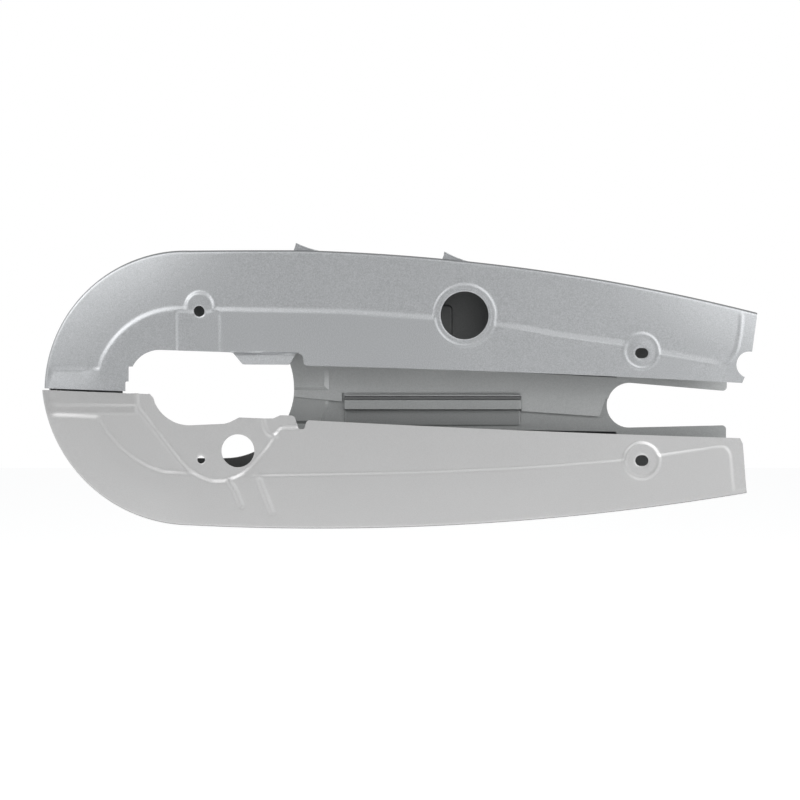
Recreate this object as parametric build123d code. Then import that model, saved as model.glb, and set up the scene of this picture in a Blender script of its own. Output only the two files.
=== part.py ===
"""Fully enclosing motorcycle chain guard: two halves, each of two sheet pressings welded at the rim.

Frame: origin at the rear axle's centre in the middle of the case's width, +X towards the engine,
+Z up, -Y towards the side with the gap for the swingarm leg. Sizes are in millimetres.
"""
import os
from math import cos, radians, sin, tan

from build123d import *

# Sheet and width
SHEET = 1.0
NEAR_Y = -20.0
FAR_Y = 20.0
SEAM_Y = 4.0
RIM_OVERLAP = 8.0
RIM_BEND = 2.5
WELD_GAP = 0.05

# Round rear end, measured from the axle, and the long edges
END_R = 102.3
UPPER_SHOULDER_FLATTENING = 1.0
UPPER_SHOULDER_ANGLE = 135.0
LOWER_SHOULDER_FLATTENING = 4.8
LOWER_SHOULDER_ANGLE = 222.6
TOP_FLATTENING = 1.8
TOP_START_X = 4.0
TOP_FLAT_END_X = 85.0
TOP_MID = (242.6, 88.1)
TOP_END = (415.7, 55.6)
BOTTOM_FLATTENING = 3.9
BOTTOM_START_X = 4.0
BOTTOM_MID = (130.0, -100.6)
BOTTOM_END = (406.3, -75.1)

# Joint between the halves at the rear, which falls slightly towards the axle
JOINT_Z = -0.1
JOINT_FALL = 0.036
JOINT_GAP = 1.4
FAR_JOINT_DROP = 5.0

# Axle opening of the near walls: its left side, its upper edge and its lower edge
OPENING_LEFT_X = -41.9
OPENING_EAR_X = -39.6
OPENING_EAR_Z = 5.4
OPENING_TOP_ARC = ((-36.7, 16.2), (-29.5, 24.4), (-16.8, 28.2))
OPENING_TOP_FLAT = ((33.8, 26.4), (79.9, 26.4))
OPENING_TOP_RIGHT = (85.8, 24.2)
OPENING_SHELF = (-26.5, -2.9)
OPENING_LOW_ARC = ((-22.0, -6.4), (-13.2, -20.2), (3.7, -26.2))
OPENING_LOW_STEP = ((29.4, -25.1), (40.2, -20.5), (64.7, -21.2), (69.8, -18.9), (79.6, -19.4))
OPENING_LOW_NOTCH = ((83.4, -28.9), (87.2, -28.9), (88.5, -23.8))

# Gap for the swingarm leg between the near walls
GAP_UPPER = ((87.6, 17.4), (257.0, 11.4), (403.3, 4.4))
GAP_LOWER = ((90.4, -22.5), (257.0, -30.4), (400.8, -35.4))

# Tongue behind the upper edge of the axle opening
TONGUE_X0 = 35.4
TONGUE_X1 = 79.9
TONGUE_DROP = 8.4
TONGUE_LEFT_SLANT = 7.0
TONGUE_RIGHT_SLANT = 3.5
TONGUE_JOGGLE = 2.6

# Open front end of the upper half, with a half-round notch
NOTCH_X = 409.0
NOTCH_Z = 17.6
NOTCH_R = 9.6

# Pressed levels of the near walls, as steps in depth, and the slope of their creases
UPPER_BAND_STEP = 1.4
UPPER_JOINT_STEP = 1.4
LOWER_PANEL_SETBACK = 0.6
LOWER_BAND_STEP = 1.0
PLATFORM_STEP = 0.8
SEAT_RISE = 0.7
CREASE_SLOPE = 45.0

# Lines of the creases in the near walls
UPPER_CREASE_ARC = ((-61.9, 14.0), (-40.6, 45.6), (-5.3, 58.4))
UPPER_CREASE = ((41.0, 57.5), (118.0, 55.9), (180.0, 51.5), (272.6, 39.6), (344.6, 27.5), (393.0, 18.9))
UPPER_CREASE_END = ((399.8, 28.0), (404.2, 47.0))
UPPER_JOINT_ZONE_Z = 15.1
LOWER_JOINT_ZONE_Z = -19.4
LOWER_CREASE_ARC = ((-61.6, -19.4), (-40.2, -46.6), (0.0, -60.5))
LOWER_CREASE = ((45.0, -60.5), (144.0, -60.8), (242.6, -57.0), (313.9, -51.5), (387.2, -41.3))
LOWER_CREASE_END = ((393.8, -43.5), (396.5, -69.0))
PLATFORM_LEFT_X = -33.6
PLATFORM_LEFT_Z = -13.1
PLATFORM_ARC = ((0.5, -56.0), (20.7, -66.7), (46.0, -58.5))
PLATFORM_RIGHT = ((61.6, -40.6), (69.8, -27.7), (86.0, -27.7))

# Holes and seats of the near walls
REAR_BOLT_X = 11.4
REAR_BOLT_Z = 56.1
REAR_BOLT_R = 3.9
REAR_LOBE_R = 9.6
REAR_LOBE_LIFT = 3.9
FRONT_BOLT_X = 330.5
FRONT_BOLT_UPPER_Z = 25.9
FRONT_BOLT_LOWER_Z = -51.6
FRONT_SLOT_LENGTH = 9.5
FRONT_SLOT_WIDTH = 7.4
FRONT_SEAT_LAND = 7.6
INSPECTION_X = 202.8
INSPECTION_Z = 53.1
INSPECTION_R = 17.3
INSPECTION_SEAT_LAND = 5.6
SCREW_X = 12.7
SCREW_Z = -51.1
SCREW_R = 2.75
SCREW_COLLAR_WALL = 1.1
SCREW_COLLAR_DEPTH = 3.0
ACCESS_X = 39.2
ACCESS_Z = -44.6
ACCESS_R = 11.9

# Far walls: axle opening, raised panel in the middle, slot at the front
FAR_OPENING_R = 53.3
FAR_OPENING_Z = 1.5
FAR_OPENING_REAR_X = 0.0
FAR_OPENING_FRONT_X = 24.0
FAR_PANEL_RISE = 10.0
FAR_PANEL_SLOPE = 30.0
FAR_PANEL_TOP = ((60.0, 31.0), (117.0, 31.0), (122.0, 18.3), (318.0, 8.2), (324.0, 14.0))
FAR_PANEL_BOTTOM = ((324.0, -42.0), (318.0, -31.0), (122.0, -27.5), (117.0, -29.0), (60.0, -29.0))
FAR_FRONT_X = 400.0
FAR_SLOT_X = 327.5
FAR_SLOT_Z = -11.8
FAR_SLOT_R = 16.7
FAR_SLOT_MOUTH_TOP_Z = -1.3
FAR_SLOT_MOUTH_BOTTOM_Z = -26.8
FAR_LIP_CORNER_R = 3.0
LAP_CLEARANCE = 0.1

# Pads of the far walls beside the axle opening, raised further than the panel
UPPER_PAD_STEP = 1.5
UPPER_PAD_CORNER = (101.6, 1.0)
LOWER_PAD_STEP = 1.0
LOWER_PAD_EDGE = ((101.7, -10.9), (97.6, -24.5))
PAD_SLOPE = 65.0

# Edges of the far walls where the upper one lies in front of the lower one
TAB_EDGE = ((70.0, -4.0), (80.0, -5.8), (112.9, -9.0))
TAB_NOTCH_Z = -2.5
TAB_NOTCH_WIDTH = 1.7
LAP_EDGE = ((246.9, -16.2), (305.0, -20.2), (309.5, -7.0))
LAP_BEHIND_STRIP = 1.5
LOWER_FAR_TOP_Z = -1.0

# Joint strip on the lower far wall, which holds the edge of the upper one
STRIP_X0 = 114.8
STRIP_LENGTH = 131.7
STRIP_TOP_Z = -3.4
STRIP_GROOVE_HEIGHT = 2.7
STRIP_LIP_OUT = 2.4
STRIP_BULGE = 1.4
STRIP_JOGGLE_Z = -15.4
STRIP_BOTTOM_Z = -26.5
STRIP_SHEET = 1.2
STRIP_CLEARANCE = 0.3
STRIP_CORNER_R = 2.5

# Plate inside the upper far wall
STAY_X = 183.0
STAY_Z = 49.0
STAY_WIDTH = 26.0
STAY_HEIGHT = 30.0
STAY_THICK = 1.6
STAY_CORNER_R = 4.0

# Scoops lanced from the top rim, open towards the rear
SCOOP_TIPS_X = (80.8, 188.6)
SCOOP_HEIGHT = 5.6
SCOOP_LENGTH = 24.0
SCOOP_WIDTH = 10.0
SCOOP_SETBACK = 1.2
SCOOP_LEAN = 2.0
SCOOP_SAG = 0.6

# Heights of the top and the bottom over the axle, which follow from the round end
TOP_Z = END_R - TOP_FLATTENING
BOTTOM_START = (BOTTOM_START_X, BOTTOM_FLATTENING - END_R)

# Limits of the cutting forms, outside the object
OUT = 60.0
LEFT = -END_R - OUT
RIGHT = max(TOP_END[0], BOTTOM_END[0]) + OUT
HIGH = TOP_Z + OUT
LOW = BOTTOM_MID[1] - OUT

# Depths that follow from the sizes above
UPPER_FACE_Y = NEAR_Y + UPPER_BAND_STEP
LOWER_FACE_Y = NEAR_Y + LOWER_PANEL_SETBACK
LOWER_BAND_Y = LOWER_FACE_Y + LOWER_BAND_STEP
PLATFORM_Y = LOWER_BAND_Y + PLATFORM_STEP
FAR_RIM_INSET = SHEET + WELD_GAP
LOWER_PANEL_RISE = FAR_PANEL_RISE - SHEET - LAP_CLEARANCE - LOWER_PAD_STEP
UPPER_PANEL_Y = FAR_Y - FAR_PANEL_RISE - SHEET
LOWER_PANEL_Y = FAR_Y - LOWER_PANEL_RISE - SHEET


def wall_plane(y):
    """Plane across the case at depth y, facing the viewer: local x along +X, local y along +Z."""
    return Plane(origin=(0, y, 0), x_dir=(1, 0, 0), z_dir=(0, -1, 0))


def prism(region, y0, y1, taper=0.0):
    """Solid over a flat region, from depth y0 towards the viewer to depth y1."""
    return extrude(wall_plane(y0) * region, amount=y0 - y1, taper=taper)


def region_of(*edges):
    """Flat region inside a chain of edges."""
    return make_face(Curve() + list(edges))


def polygon(*points):
    """Flat region inside straight edges."""
    return make_face(Polyline(*points, close=True))


def disc(x, z, r):
    """Round region."""
    return Pos(x, z) * Circle(r)


def rectangle(x0, x1, z0, z1):
    """Region between two upright and two level lines."""
    return polygon((x0, z0), (x1, z0), (x1, z1), (x0, z1))


def at_angle(radius, degrees):
    """Point at a radius and an angle about the axle."""
    return (radius * cos(radians(degrees)), radius * sin(radians(degrees)))


def beyond(start, through, reach):
    """Point past the end of a line, so that a cutting outline leaves the object."""
    return (through[0] + (through[0] - start[0]) * reach, through[1] + (through[1] - start[1]) * reach)


def joint_z(x):
    """Height of the joint's middle line, which falls from the rear end towards the axle."""
    return JOINT_Z - JOINT_FALL * (x + END_R)


def upper_region():
    """Everything under the upper rim, closed well below the joint."""
    start = (-END_R, JOINT_Z)
    shoulder = at_angle(END_R - UPPER_SHOULDER_FLATTENING, UPPER_SHOULDER_ANGLE)
    front = ThreePointArc((TOP_FLAT_END_X, TOP_Z), TOP_MID, TOP_END)
    past = front @ 1 + (front % 1) * OUT
    return region_of(
        ThreePointArc(start, shoulder, (TOP_START_X, TOP_Z)),
        Line((TOP_START_X, TOP_Z), (TOP_FLAT_END_X, TOP_Z)),
        front,
        Polyline(front @ 1, past, (past.X, LOW), (-END_R, LOW), start),
    )


def lower_region():
    """Everything above the lower rim, closed well above the joint."""
    start = (-END_R, JOINT_Z)
    shoulder = at_angle(END_R - LOWER_SHOULDER_FLATTENING, LOWER_SHOULDER_ANGLE)
    front = ThreePointArc(BOTTOM_START, BOTTOM_MID, BOTTOM_END)
    past = front @ 1 + (front % 1) * OUT
    return region_of(
        ThreePointArc(start, shoulder, BOTTOM_START),
        front,
        Polyline(front @ 1, past, (past.X, HIGH), (-END_R, HIGH), start),
    )


def rim_form(region, y_open, y_wall, bend):
    """Prism whose edge at the wall is rounded like the bend between wall and rim."""
    form = prism(region, max(y_open, y_wall), min(y_open, y_wall))
    wall = form.faces().sort_by(Axis.Y)[0 if y_wall < y_open else -1]
    return fillet(wall.edges(), bend)


def raise_level(form, region, y_face, rise):
    """Add a sloped boss to a near wall; region is its line half way up the slope."""
    run = rise * tan(radians(CREASE_SLOPE))
    return form + prism(offset(region, amount=run), y_face + rise / 2, y_face - rise, taper=CREASE_SLOPE)


def sink_level(form, region, y_face, depth):
    """Cut a sloped pocket into a near wall; region is its line half way down the slope."""
    run = depth * tan(radians(CREASE_SLOPE))
    return form - prism(offset(region, amount=-run / 2), y_face + depth, y_face - depth, taper=-CREASE_SLOPE)


def push_panel(form, region, y_wall, rise, growth):
    """Cut the raised panel into a far wall's form from the far side; region is its flat top."""
    run = rise * tan(radians(FAR_PANEL_SLOPE))
    foot = offset(region, amount=run + growth, kind=Kind.INTERSECTION)
    return form - prism(foot, y_wall, y_wall - rise, taper=FAR_PANEL_SLOPE)


def push_pad(form, region, y_panel, step):
    """Cut a sloped pad into the raised panel from the far side; region is its line half way up."""
    run = step * tan(radians(PAD_SLOPE))
    foot = offset(region, amount=run, kind=Kind.INTERSECTION)
    return form - prism(foot, y_panel + step / 2, y_panel - step, taper=PAD_SLOPE)


def upper_band_region():
    """Proud band of the upper near wall, between its crease and the axle opening."""
    band = region_of(
        ThreePointArc(*UPPER_CREASE_ARC),
        Polyline(UPPER_CREASE_ARC[2], *UPPER_CREASE),
        ThreePointArc(UPPER_CREASE[-1], *UPPER_CREASE_END),
        Polyline(
            UPPER_CREASE_END[-1],
            (RIGHT, UPPER_CREASE_END[-1][1]),
            (RIGHT, LOW),
            (UPPER_CREASE_ARC[0][0], LOW),
            UPPER_CREASE_ARC[0],
        ),
    )
    lobe = disc(REAR_BOLT_X, REAR_BOLT_Z + REAR_LOBE_LIFT, REAR_LOBE_R)
    return band + lobe - inspection_seat() - front_seat(FRONT_BOLT_UPPER_Z)


def inspection_seat():
    """Round seat of the inspection hole."""
    return disc(INSPECTION_X, INSPECTION_Z, INSPECTION_R + INSPECTION_SEAT_LAND)


def front_seat(z):
    """Round seat of a front bolt slot."""
    return disc(FRONT_BOLT_X, z, FRONT_SLOT_LENGTH / 2 + FRONT_SEAT_LAND)


def front_slot(z):
    """Slot for a front bolt."""
    return Pos(FRONT_BOLT_X, z) * SlotOverall(FRONT_SLOT_LENGTH, FRONT_SLOT_WIDTH)


def upper_joint_zone():
    """Set-back zone of the upper near wall beside the joint at the rear."""
    right = UPPER_CREASE_ARC[0][0] - UPPER_BAND_STEP - UPPER_JOINT_STEP
    return offset(upper_region(), amount=-RIM_BEND) & rectangle(LEFT, right, LOW, UPPER_JOINT_ZONE_Z)


def lower_band_region():
    """Set-back band of the lower near wall, above its crease."""
    start = (LEFT, LOWER_JOINT_ZONE_Z)
    end = (LOWER_CREASE_END[-1][0], LOW)
    band = region_of(
        Line(start, LOWER_CREASE_ARC[0]),
        ThreePointArc(*LOWER_CREASE_ARC),
        Polyline(LOWER_CREASE_ARC[2], *LOWER_CREASE, *LOWER_CREASE_END, end),
        Polyline(end, (RIGHT, LOW), (RIGHT, HIGH), (LEFT, HIGH), start),
    )
    return (band & offset(lower_region(), amount=-RIM_BEND)) - front_seat(FRONT_BOLT_LOWER_Z)


def platform_region():
    """Set-back platform under the axle opening of the lower near wall."""
    corner = (PLATFORM_LEFT_X, PLATFORM_LEFT_Z)
    return region_of(
        Line(corner, PLATFORM_ARC[0]),
        ThreePointArc(*PLATFORM_ARC),
        Polyline(
            PLATFORM_ARC[2],
            *PLATFORM_RIGHT,
            (PLATFORM_RIGHT[-1][0], HIGH),
            (PLATFORM_LEFT_X, HIGH),
            corner,
        ),
    )


def upper_wall_outline():
    """Outline of the upper near wall: joint, axle opening, swingarm gap, front edge."""
    ear = (OPENING_LEFT_X, OPENING_EAR_Z)
    shoulder = (OPENING_EAR_X, OPENING_TOP_ARC[0][1])
    return region_of(
        Polyline(
            (LEFT, joint_z(LEFT) + JOINT_GAP / 2),
            (OPENING_LEFT_X, joint_z(OPENING_LEFT_X) + JOINT_GAP / 2),
            ear,
            (OPENING_EAR_X, OPENING_EAR_Z),
            shoulder,
            OPENING_TOP_ARC[0],
        ),
        ThreePointArc(*OPENING_TOP_ARC),
        Polyline(OPENING_TOP_ARC[2], *OPENING_TOP_FLAT, OPENING_TOP_RIGHT, GAP_UPPER[0]),
        ThreePointArc(*GAP_UPPER),
        Polyline(
            GAP_UPPER[2],
            beyond(GAP_UPPER[2], TOP_END, 1.0),
            (RIGHT, HIGH),
            (LEFT, HIGH),
            (LEFT, joint_z(LEFT) + JOINT_GAP / 2),
        ),
    )


def lower_wall_outline():
    """Outline of the lower near wall: joint, axle opening, swingarm gap, front edge."""
    return region_of(
        Polyline(
            (LEFT, joint_z(LEFT) - JOINT_GAP / 2),
            (OPENING_LEFT_X, joint_z(OPENING_LEFT_X) - JOINT_GAP / 2),
            OPENING_SHELF,
            OPENING_LOW_ARC[0],
        ),
        ThreePointArc(*OPENING_LOW_ARC),
        Polyline(OPENING_LOW_ARC[2], *OPENING_LOW_STEP, *OPENING_LOW_NOTCH, GAP_LOWER[0]),
        ThreePointArc(*GAP_LOWER),
        Polyline(
            GAP_LOWER[2],
            beyond(GAP_LOWER[2], BOTTOM_END, 1.0),
            (RIGHT, LOW),
            (LEFT, LOW),
            (LEFT, joint_z(LEFT) - JOINT_GAP / 2),
        ),
    )


def far_joint_line(side):
    """Edge of a far wall at the joint, which lies lower than the near one and so shows no gap."""
    drop = FAR_JOINT_DROP - side
    return ((LEFT, joint_z(LEFT) - drop), (FAR_OPENING_REAR_X, joint_z(FAR_OPENING_REAR_X) - drop))


def upper_far_outline():
    """Outline of the upper far wall, whose lower edge lies in front of the lower wall."""
    notch_x = TAB_EDGE[-1][0] + TAB_NOTCH_WIDTH
    behind_z = STRIP_JOGGLE_Z + LAP_BEHIND_STRIP
    return polygon(
        *far_joint_line(JOINT_GAP / 2),
        *TAB_EDGE,
        (TAB_EDGE[-1][0], TAB_NOTCH_Z),
        (notch_x, TAB_NOTCH_Z),
        (notch_x, behind_z),
        (LAP_EDGE[0][0], behind_z),
        *LAP_EDGE,
        (FAR_SLOT_X, LAP_EDGE[-1][1]),
        (FAR_FRONT_X, LAP_EDGE[-1][1]),
        (FAR_FRONT_X, HIGH),
        (LEFT, HIGH),
    )


def lower_far_outline():
    """Outline of the lower far wall."""
    return polygon(
        *far_joint_line(-JOINT_GAP / 2),
        (FAR_OPENING_FRONT_X, LOWER_FAR_TOP_Z),
        (FAR_SLOT_X, LOWER_FAR_TOP_Z),
        (FAR_SLOT_X, FAR_SLOT_Z),
        (FAR_FRONT_X, FAR_SLOT_Z),
        (FAR_FRONT_X, LOW),
        (LEFT, LOW),
    )


def far_openings():
    """Axle opening and front slot, which the two far walls share."""
    centre_x = (FAR_OPENING_REAR_X + FAR_OPENING_FRONT_X) / 2
    axle = Pos(centre_x, FAR_OPENING_Z) * SlotCenterToCenter(
        FAR_OPENING_FRONT_X - FAR_OPENING_REAR_X, 2 * FAR_OPENING_R
    )
    top = (FAR_SLOT_X, FAR_SLOT_Z + FAR_SLOT_R)
    bottom = (FAR_SLOT_X, FAR_SLOT_Z - FAR_SLOT_R)
    mouth = polygon(
        bottom,
        beyond(bottom, (FAR_FRONT_X, FAR_SLOT_MOUTH_BOTTOM_Z), 1.0),
        beyond(top, (FAR_FRONT_X, FAR_SLOT_MOUTH_TOP_Z), 1.0),
        top,
    )
    return axle + disc(FAR_SLOT_X, FAR_SLOT_Z, FAR_SLOT_R) + mouth


def upper_pad_region():
    """Pad of the upper far wall, from the axle opening to its upright and its level edge."""
    right, bottom = UPPER_PAD_CORNER
    return rectangle(FAR_PANEL_TOP[0][0], right, bottom, FAR_PANEL_TOP[0][1])


def lower_pad_region():
    """Pad of the lower far wall, from the axle opening to its slanted edge."""
    top, bottom = LOWER_PAD_EDGE
    left = FAR_PANEL_BOTTOM[-1][0]
    return polygon((left, bottom[1]), bottom, top, (top[0], HIGH), (left, HIGH))


def far_panel_region():
    """Flat top of the raised panel of the far walls, open at the front end."""
    return polygon(
        *FAR_PANEL_TOP,
        (RIGHT, FAR_PANEL_TOP[-1][1]),
        (RIGHT, FAR_PANEL_BOTTOM[0][1]),
        *FAR_PANEL_BOTTOM,
    )


def upper_near():
    """Upper half, near pressing: wall with its creases, seats, holes and tongue, and the outer rim."""
    region = upper_region()
    outer = rim_form(region, SEAM_Y, UPPER_FACE_Y, RIM_BEND)
    inner = rim_form(offset(region, amount=-SHEET), SEAM_Y + OUT, UPPER_FACE_Y + SHEET, RIM_BEND - SHEET)
    forms = []
    for form, face_y in ((outer, UPPER_FACE_Y), (inner, UPPER_FACE_Y + SHEET)):
        form = sink_level(form, upper_joint_zone(), face_y, UPPER_JOINT_STEP)
        form = raise_level(form, upper_band_region(), face_y, UPPER_BAND_STEP)
        form = raise_level(form, inspection_seat(), face_y, SEAT_RISE)
        form = raise_level(form, front_seat(FRONT_BOLT_UPPER_Z), face_y, SEAT_RISE)
        forms.append(form)
    shell = (forms[0] - forms[1]) & prism(upper_wall_outline(), OUT, -OUT)
    holes = (
        disc(REAR_BOLT_X, REAR_BOLT_Z, REAR_BOLT_R)
        + disc(INSPECTION_X, INSPECTION_Z, INSPECTION_R)
        + front_slot(FRONT_BOLT_UPPER_Z)
        + disc(NOTCH_X, NOTCH_Z, NOTCH_R)
    )
    shell -= prism(holes, SEAM_Y, -OUT)
    top = OPENING_TOP_FLAT[0][1]
    tongue = polygon(
        (TONGUE_X0, top),
        (TONGUE_X0 + TONGUE_LEFT_SLANT, top - TONGUE_DROP),
        (TONGUE_X1 - TONGUE_RIGHT_SLANT, top - TONGUE_DROP),
        (TONGUE_X1, top),
    )
    web = tongue & rectangle(LEFT, RIGHT, top - SHEET, top)
    plate_y = NEAR_Y + TONGUE_JOGGLE
    return shell + prism(web, plate_y + SHEET, NEAR_Y) + prism(tongue, plate_y + SHEET, plate_y)


def lower_near():
    """Lower half, near pressing: wall with its creases, platform and holes, and the outer rim."""
    region = lower_region()
    outer = rim_form(region, SEAM_Y, LOWER_FACE_Y, RIM_BEND)
    inner = rim_form(offset(region, amount=-SHEET), SEAM_Y + OUT, LOWER_FACE_Y + SHEET, RIM_BEND - SHEET)
    forms = []
    for form, face_y in ((outer, LOWER_FACE_Y), (inner, LOWER_FACE_Y + SHEET)):
        form = sink_level(form, lower_band_region(), face_y, LOWER_BAND_STEP)
        form = sink_level(form, platform_region(), face_y, LOWER_BAND_STEP + PLATFORM_STEP)
        forms.append(form)
    shell = (forms[0] - forms[1]) & prism(lower_wall_outline(), OUT, -OUT)
    collar = disc(SCREW_X, SCREW_Z, SCREW_R + SCREW_COLLAR_WALL)
    shell += prism(collar, PLATFORM_Y + SCREW_COLLAR_DEPTH, PLATFORM_Y)
    holes = (
        disc(SCREW_X, SCREW_Z, SCREW_R)
        + disc(ACCESS_X, ACCESS_Z, ACCESS_R)
        + front_slot(FRONT_BOLT_LOWER_Z)
    )
    return shell - prism(holes, SEAM_Y, -OUT)


def far_shell(region, other, outline, panel_rise, pad, pad_step):
    """Far pressing of one half: wall with its share of the raised panel, its pad, and the inner rim.

    Past the near joint its rim keeps inside the other half's region.
    """
    rim = offset(region, amount=-FAR_RIM_INSET)
    inside = offset(region, amount=-FAR_RIM_INSET - SHEET)
    start_y = SEAM_Y - RIM_OVERLAP
    growth = SHEET * tan(radians(90 - FAR_PANEL_SLOPE) / 2)
    outer = rim_form(rim, start_y, FAR_Y, RIM_BEND)
    inner = rim_form(inside, start_y - OUT, FAR_Y - SHEET, RIM_BEND - SHEET)
    outer = push_panel(outer, far_panel_region(), FAR_Y, panel_rise, 0.0)
    inner = push_panel(inner, far_panel_region(), FAR_Y - SHEET, panel_rise, growth)
    outer = push_pad(outer, pad, FAR_Y - panel_rise, pad_step)
    inner = push_pad(inner, pad, FAR_Y - SHEET - panel_rise, pad_step)
    face = outline - far_openings()
    lip = [v for v in face.vertices() if v.X > FAR_FRONT_X - SHEET and abs(v.Y - FAR_SLOT_Z) < 2 * FAR_SLOT_R]
    shell = (outer - inner) & prism(fillet(lip, FAR_LIP_CORNER_R), FAR_Y + OUT, -OUT)
    return shell & prism(offset(other, amount=-FAR_RIM_INSET), FAR_Y + OUT, -OUT)


def joint_strip():
    """Folded strip on the lower far wall: foot, joggle over the upper wall's edge, groove and lip."""
    t = STRIP_SHEET
    foot_y = LOWER_PANEL_Y - WELD_GAP
    groove_y = UPPER_PANEL_Y - STRIP_CLEARANCE
    bulge_y = groove_y - STRIP_BULGE
    lip_y = groove_y - STRIP_LIP_OUT
    groove_top = STRIP_TOP_Z - t
    groove_bottom = groove_top - STRIP_GROOVE_HEIGHT
    section = Plane.YZ.offset(STRIP_X0) * polygon(
        (foot_y, STRIP_BOTTOM_Z),
        (foot_y, STRIP_JOGGLE_Z + t),
        (bulge_y, STRIP_JOGGLE_Z + t),
        (bulge_y, groove_bottom - t),
        (groove_y, groove_bottom - t),
        (groove_y, STRIP_TOP_Z),
        (lip_y, STRIP_TOP_Z),
        (lip_y, groove_top),
        (groove_y - t, groove_top),
        (groove_y - t, groove_bottom),
        (bulge_y - t, groove_bottom),
        (bulge_y - t, STRIP_JOGGLE_Z),
        (foot_y - t, STRIP_JOGGLE_Z),
        (foot_y - t, STRIP_BOTTOM_Z),
    )
    height = STRIP_TOP_Z - STRIP_BOTTOM_Z
    face = Pos(STRIP_X0 + STRIP_LENGTH / 2, STRIP_BOTTOM_Z + height / 2) * RectangleRounded(
        STRIP_LENGTH, height, STRIP_CORNER_R
    )
    return extrude(section, amount=STRIP_LENGTH) & prism(face, FAR_Y, NEAR_Y)


def stay_plate():
    """Plate welded inside the upper far wall, seen through the inspection hole."""
    face = Pos(STAY_X, STAY_Z) * RectangleRounded(STAY_WIDTH, STAY_HEIGHT, STAY_CORNER_R)
    back_y = FAR_Y - SHEET - WELD_GAP
    return prism(face, back_y, back_y - STAY_THICK)


def rim_z(x):
    """Height of the top rim above a place near the front."""
    form = upper_region() & rectangle(x, x + SHEET, 0.0, HIGH)
    return form.bounding_box().max.Y


def scoop(tip_x):
    """Ramp lanced from the top rim beside the near wall, open towards the rear."""
    tip = (tip_x, rim_z(tip_x) + SCOOP_HEIGHT)
    foot_x = tip_x - SCOOP_LEAN
    foot = (foot_x, rim_z(foot_x) - SHEET)
    end = (tip_x + SCOOP_LENGTH, rim_z(tip_x + SCOOP_LENGTH) - SHEET / 2)
    ramp_mid = ((tip[0] + end[0]) / 2 - SCOOP_SAG, (tip[1] + end[1]) / 2 - SCOOP_SAG)
    profile = region_of(
        ThreePointArc(tip, ramp_mid, end),
        Polyline(end, foot, tip),
    )
    y0 = UPPER_FACE_Y + RIM_BEND + SCOOP_SETBACK
    return prism(profile, y0 + SCOOP_WIDTH, y0)


def main():
    """Build each piece and write it to parts."""
    upper = upper_near() + [scoop(x) for x in SCOOP_TIPS_X]
    over, under = upper_region(), lower_region()
    pieces = {
        "upper_near_shell": upper,
        "lower_near_shell": lower_near(),
        "upper_far_shell": far_shell(
            over, under, upper_far_outline(), FAR_PANEL_RISE, upper_pad_region(), UPPER_PAD_STEP
        ),
        "lower_far_shell": far_shell(
            under, over, lower_far_outline(), LOWER_PANEL_RISE, lower_pad_region(), LOWER_PAD_STEP
        ),
        "joint_strip": joint_strip(),
        "stay_plate": stay_plate(),
    }
    os.makedirs("parts", exist_ok=True)
    for name, piece in pieces.items():
        piece.label = name
        export_step(piece, f"parts/{name}.step")
        box = piece.bounding_box()
        print(name, len(piece.solids()), round(piece.volume), box.min, box.max)


main()
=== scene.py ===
import math

import bpy
import numpy as np
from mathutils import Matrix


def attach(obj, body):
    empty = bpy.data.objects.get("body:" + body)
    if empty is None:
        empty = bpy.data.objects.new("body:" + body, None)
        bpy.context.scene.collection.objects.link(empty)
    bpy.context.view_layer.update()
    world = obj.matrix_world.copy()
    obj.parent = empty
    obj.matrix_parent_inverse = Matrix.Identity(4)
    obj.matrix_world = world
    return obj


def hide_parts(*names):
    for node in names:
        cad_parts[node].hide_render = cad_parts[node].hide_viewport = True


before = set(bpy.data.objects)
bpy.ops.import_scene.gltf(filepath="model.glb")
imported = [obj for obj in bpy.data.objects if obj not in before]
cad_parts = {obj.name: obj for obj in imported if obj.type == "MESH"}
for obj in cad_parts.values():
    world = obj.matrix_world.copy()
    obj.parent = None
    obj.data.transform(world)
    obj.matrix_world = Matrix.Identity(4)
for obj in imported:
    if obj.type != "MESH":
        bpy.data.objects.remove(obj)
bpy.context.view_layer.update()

MM = 0.001

# Sheet and rims of the near walls, and the joint between the halves, in mm like all sizes of the pieces
SHEET = 1.0
SEAM_Y = 4.0
UPPER_RIM_BEND = 2.5
LOWER_RIM_BEND = 1.5
END_R = 102.3
JOINT_Z = -0.1
JOINT_FALL = 0.036
JOINT_GAP = 1.4

# Depth of the near walls' faces; the upper one lies 0.35 deeper than in the part, to leave room for its beads
UPPER_FACE_Y = -18.25
LOWER_FACE_Y = -19.4

# Round features of the near walls: x, z, radius; slots: x, z, length, width, and their soft edge's radius
REAR_BOLT = (11.4, 56.1, 3.9)
REAR_LOBE = (11.6, 60.0, 9.8)
INSPECTION = (202.8, 53.1, 17.3)
INSPECTION_SEAT = (202.8, 53.1, 21.8)
FRONT_SEAT_UPPER = (330.3, 27.2, 12.3)
FRONT_SEAT_LOWER = (330.5, -51.6, 12.4)
FRONT_SLOT_UPPER = (330.5, 25.9, 9.5, 7.4)
FRONT_SLOT_LOWER = (330.5, -51.6, 9.5, 7.8)
SLOT_EDGE_R = 4.6
NOTCH = (409.0, 17.6, 9.6)
SCREW = (12.7, -51.1, 2.75)
ACCESS = (39.2, -44.6, 11.9)

# Upper wall, band below its crease: height over the face and width of its step, by place along X
BAND_PLACES_X = (-200.0, 0.0, 30.0, 180.0, 225.0, 315.0, 345.0, 380.0, 392.0, 402.0)
BAND_HEIGHTS = (0.75, 0.8, 1.0, 1.05, 0.65, 0.55, 0.4, 0.3, 0.0, -0.4)
BAND_WIDTHS = (4.2, 4.2, 4.6, 6.0, 5.0, 6.4, 5.0, 4.0, 3.6, 3.4)

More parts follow.
